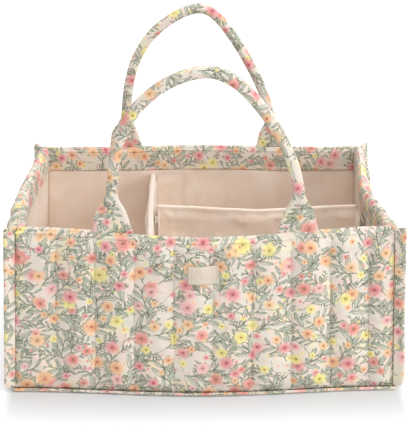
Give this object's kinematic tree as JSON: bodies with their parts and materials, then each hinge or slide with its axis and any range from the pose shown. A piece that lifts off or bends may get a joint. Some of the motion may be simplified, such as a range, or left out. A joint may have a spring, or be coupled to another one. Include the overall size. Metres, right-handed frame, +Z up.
{
  "type": "diaper caddy",
  "caption": "Open quilted cloth box with two soft arched carry handles and removable padded dividers.",
  "frame": {"origin": "middle of the flat underside of the base, on the surface it stands on", "axes": "+X to the right along the long side, +Y from the front wall to the back wall, +Z up"},
  "size_m": [0.3942, 0.2779, 0.3345],
  "materials": {
    "printed_cotton": null,
    "beige_lining": "smooth beige cotton satin",
    "foam_board": "matt felted foam",
    "base_board": "matt stiff board",
    "cotton_rope": "soft cotton rope",
    "woven_label": "fine woven tape, bare",
    "cream_piping": "matt cotton piping",
    "strip_tape": "hook or loop tape"
  },
  "bodies": {
    "caddy": {"front_outer_panel": "printed_cotton", "front_stiffener": "foam_board", "front_lining": "beige_lining", "front_facing": "printed_cotton", "right_outer_panel": "printed_cotton", "right_stiffener": "foam_board", "right_lining": "beige_lining", "right_facing": "printed_cotton", "back_outer_panel": "printed_cotton", "back_stiffener": "foam_board", "back_lining": "beige_lining", "back_facing": "printed_cotton", "left_outer_panel": "printed_cotton", "left_stiffener": "foam_board", "left_lining": "beige_lining", "left_facing": "printed_cotton", "base_outer_panel": "printed_cotton", "base_piping": "cream_piping", "base_board": "base_board", "base_floor_lining": "beige_lining", "front_left_flange": "printed_cotton", "front_right_flange": "printed_cotton", "back_left_flange": "printed_cotton", "back_right_flange": "printed_cotton", "label_tab": "woven_label", "front_handle_left_tail": "printed_cotton", "front_handle_right_tail": "printed_cotton", "back_handle_left_tail": "printed_cotton", "back_handle_right_tail": "printed_cotton", "front_loop_strip": "strip_tape", "back_loop_strip": "strip_tape", "right_loop_strip": "strip_tape"},
    "front_handle": {"front_handle_cover": "printed_cotton", "front_handle_rope": "cotton_rope", "front_handle_left_tab": "printed_cotton", "front_handle_right_tab": "printed_cotton"},
    "back_handle": {"back_handle_cover": "printed_cotton", "back_handle_rope": "cotton_rope", "back_handle_left_tab": "printed_cotton", "back_handle_right_tab": "printed_cotton"},
    "cross_divider": {"cross_divider_cover": "beige_lining", "cross_divider_core": "foam_board", "cross_divider_loop_strip": "strip_tape"},
    "long_divider": {"long_divider_cover": "beige_lining", "long_divider_core": "foam_board"},
    "cross_front_flap": {"cross_front_flap": "beige_lining", "cross_front_hook_strip": "strip_tape"},
    "cross_back_flap": {"cross_back_flap": "beige_lining", "cross_back_hook_strip": "strip_tape"},
    "long_left_flap": {"long_left_flap": "beige_lining", "long_left_hook_strip": "strip_tape"},
    "long_right_flap": {"long_right_flap": "beige_lining", "long_right_hook_strip": "strip_tape"}
  },
  "joints": [
    {"name": "front_handle_swing", "type": "hinge", "parent": "caddy", "child": "front_handle", "pos_m": [0, -0.12496, 0.17456], "axis": [1, 0, 0], "range_deg": [-52, 106]},
    {"name": "back_handle_swing", "type": "hinge", "parent": "caddy", "child": "back_handle", "pos_m": [0, 0.1209, 0.17594], "axis": [-1, 0, 0], "range_deg": [-52, 106]},
    {"name": "cross_divider_lift", "type": "slide", "parent": "caddy", "child": "cross_divider", "axis": [0, 0, 1], "range_m": [0, 0.17]},
    {"name": "long_divider_lift", "type": "slide", "parent": "caddy", "child": "long_divider", "axis": [0, 0, 1], "range_m": [0, 0.17]},
    {"name": "cross_front_flap_peel", "type": "hinge", "parent": "cross_divider", "child": "cross_front_flap", "pos_m": [-0.04905, -0.1203, 0.076], "axis": [0, 0, 1], "range_deg": [0, 80]},
    {"name": "cross_back_flap_peel", "type": "hinge", "parent": "cross_divider", "child": "cross_back_flap", "pos_m": [-0.04905, 0.11404, 0.076], "axis": [0, 0, -1], "range_deg": [0, 80]},
    {"name": "long_left_flap_peel", "type": "hinge", "parent": "long_divider", "child": "long_left_flap", "pos_m": [-0.04595, 0.00665, 0.076], "axis": [0, 0, 1], "range_deg": [0, 80]},
    {"name": "long_right_flap_peel", "type": "hinge", "parent": "long_divider", "child": "long_right_flap", "pos_m": [0.15996, 0.00665, 0.076], "axis": [0, 0, -1], "range_deg": [0, 80]}
  ]
}
